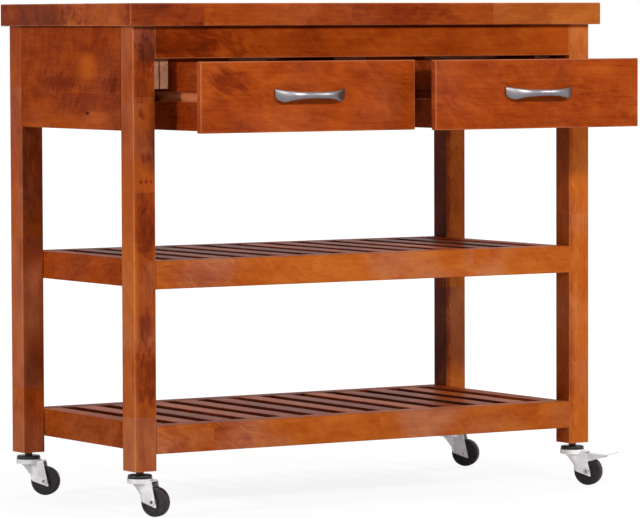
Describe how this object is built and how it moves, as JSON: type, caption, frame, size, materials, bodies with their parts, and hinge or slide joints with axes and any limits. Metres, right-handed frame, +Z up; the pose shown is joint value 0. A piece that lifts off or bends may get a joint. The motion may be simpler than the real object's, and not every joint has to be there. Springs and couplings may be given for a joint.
{
  "type": "kitchen cart",
  "caption": "Wooden kitchen cart on castors with a thick worktop, drawers side by side on wooden runners, bow handles and open slatted shelves below.",
  "frame": {"origin": "on the floor, under the middle of the leg footprint", "axes": "+X along the width, to the right seen from the drawer side; +Y from the drawer side to the back; +Z up"},
  "size_m": [0.9687, 0.67, 0.851],
  "materials": {
    "lacquered_acacia": "satin lacquer, reddish brown",
    "drawer_box_wood": "thin lacquer",
    "drawer_bottom_ply": "unfinished plywood",
    "zinc_plated_steel": "bright zinc plate",
    "satin_nickel": "satin nickel",
    "black_plastic": "moulded",
    "grey_rubber": "matt"
  },
  "bodies": {
    "cart_frame": {"worktop": "lacquered_acacia", "leg_front_left": "lacquered_acacia", "leg_front_right": "lacquered_acacia", "leg_rear_left": "lacquered_acacia", "leg_rear_right": "lacquered_acacia", "apron_left": "lacquered_acacia", "apron_right": "lacquered_acacia", "apron_back": "lacquered_acacia", "front_top_rail": "lacquered_acacia", "upper_shelf_front_rail": "lacquered_acacia", "upper_shelf_rear_rail": "lacquered_acacia", "upper_shelf_left_rail": "lacquered_acacia", "upper_shelf_right_rail": "lacquered_acacia", "upper_shelf_slats": "lacquered_acacia", "upper_shelf_ledgers": "lacquered_acacia", "lower_shelf_front_rail": "lacquered_acacia", "lower_shelf_rear_rail": "lacquered_acacia", "lower_shelf_left_rail": "lacquered_acacia", "lower_shelf_right_rail": "lacquered_acacia", "lower_shelf_slats": "lacquered_acacia", "lower_shelf_ledgers": "lacquered_acacia", "centre_bearer": "drawer_box_wood", "guide_packers": "drawer_box_wood", "drawer_guides": "drawer_box_wood", "drawer_runners": "drawer_box_wood", "worktop_cleats": "drawer_box_wood", "joint_dowels": "drawer_box_wood", "worktop_screws": "zinc_plated_steel", "castor_inserts": "zinc_plated_steel", "castor_stems": "zinc_plated_steel", "castor_caps": "black_plastic"},
    "left_drawer": {"left_drawer_front": "lacquered_acacia", "left_drawer_left_side": "drawer_box_wood", "left_drawer_right_side": "drawer_box_wood", "left_drawer_back": "drawer_box_wood", "left_drawer_bottom": "drawer_bottom_ply", "left_drawer_handle": "satin_nickel", "left_drawer_screws": "zinc_plated_steel"},
    "right_drawer": {"right_drawer_front": "lacquered_acacia", "right_drawer_left_side": "drawer_box_wood", "right_drawer_right_side": "drawer_box_wood", "right_drawer_back": "drawer_box_wood", "right_drawer_bottom": "drawer_bottom_ply", "right_drawer_handle": "satin_nickel", "right_drawer_screws": "zinc_plated_steel"},
    "front_left_castor": {"front_left_fork": "zinc_plated_steel", "front_left_axle": "zinc_plated_steel"},
    "front_left_rolling_wheel": {"front_left_wheel": "grey_rubber"},
    "front_right_castor": {"front_right_fork": "zinc_plated_steel", "front_right_axle": "zinc_plated_steel", "brake_pin": "zinc_plated_steel"},
    "front_right_rolling_wheel": {"front_right_wheel": "grey_rubber"},
    "castor_brake": {"brake_lever": "zinc_plated_steel"},
    "rear_left_castor": {"rear_left_fork": "zinc_plated_steel", "rear_left_axle": "zinc_plated_steel"},
    "rear_left_rolling_wheel": {"rear_left_wheel": "grey_rubber"},
    "rear_right_castor": {"rear_right_fork": "zinc_plated_steel", "rear_right_axle": "zinc_plated_steel"},
    "rear_right_rolling_wheel": {"rear_right_wheel": "grey_rubber"}
  },
  "joints": [
    {"name": "left_drawer_slide", "type": "slide", "parent": "cart_frame", "child": "left_drawer", "axis": [0, -1, 0], "range_m": [-0.146, 0.114]},
    {"name": "right_drawer_slide", "type": "slide", "parent": "cart_frame", "child": "right_drawer", "axis": [0, -1, 0], "range_m": [-0.205, 0.055]},
    {"name": "front_left_swivel", "type": "hinge", "parent": "cart_frame", "child": "front_left_castor", "pos_m": [-0.4405, -0.1945, 0.0626], "axis": [0, 0, 1], "continuous": true},
    {"name": "front_left_roll", "type": "hinge", "parent": "front_left_castor", "child": "front_left_rolling_wheel", "pos_m": [-0.42618, -0.22143, 0.025], "axis": [0.8829, 0.4695, 0], "continuous": true},
    {"name": "front_right_swivel", "type": "hinge", "parent": "cart_frame", "child": "front_right_castor", "pos_m": [0.4405, -0.1945, 0.0626], "axis": [0, 0, 1], "continuous": true},
    {"name": "front_right_roll", "type": "hinge", "parent": "front_right_castor", "child": "front_right_rolling_wheel", "pos_m": [0.45756, -0.21979, 0.025], "axis": [0.829, 0.5592, 0], "continuous": true},
    {"name": "brake_pedal", "type": "hinge", "parent": "front_right_castor", "child": "castor_brake", "pos_m": [0.44945, -0.20776, 0.0546], "axis": [0.829, 0.5592, 0], "range_deg": [0, 12]},
    {"name": "rear_left_swivel", "type": "hinge", "parent": "cart_frame", "child": "rear_left_castor", "pos_m": [-0.4405, 0.1945, 0.0626], "axis": [0, 0, 1], "continuous": true},
    {"name": "rear_left_roll", "type": "hinge", "parent": "rear_left_castor", "child": "rear_left_rolling_wheel", "pos_m": [-0.41856, 0.17331, 0.025], "axis": [0.6947, 0.7193, 0], "continuous": true},
    {"name": "rear_right_swivel", "type": "hinge", "parent": "cart_frame", "child": "rear_right_castor", "pos_m": [0.4405, 0.1945, 0.0626], "axis": [0, 0, 1], "continuous": true},
    {"name": "rear_right_roll", "type": "hinge", "parent": "rear_right_castor", "child": "rear_right_rolling_wheel", "pos_m": [0.46011, 0.17114, 0.025], "axis": [0.766, 0.6428, 0], "continuous": true}
  ]
}
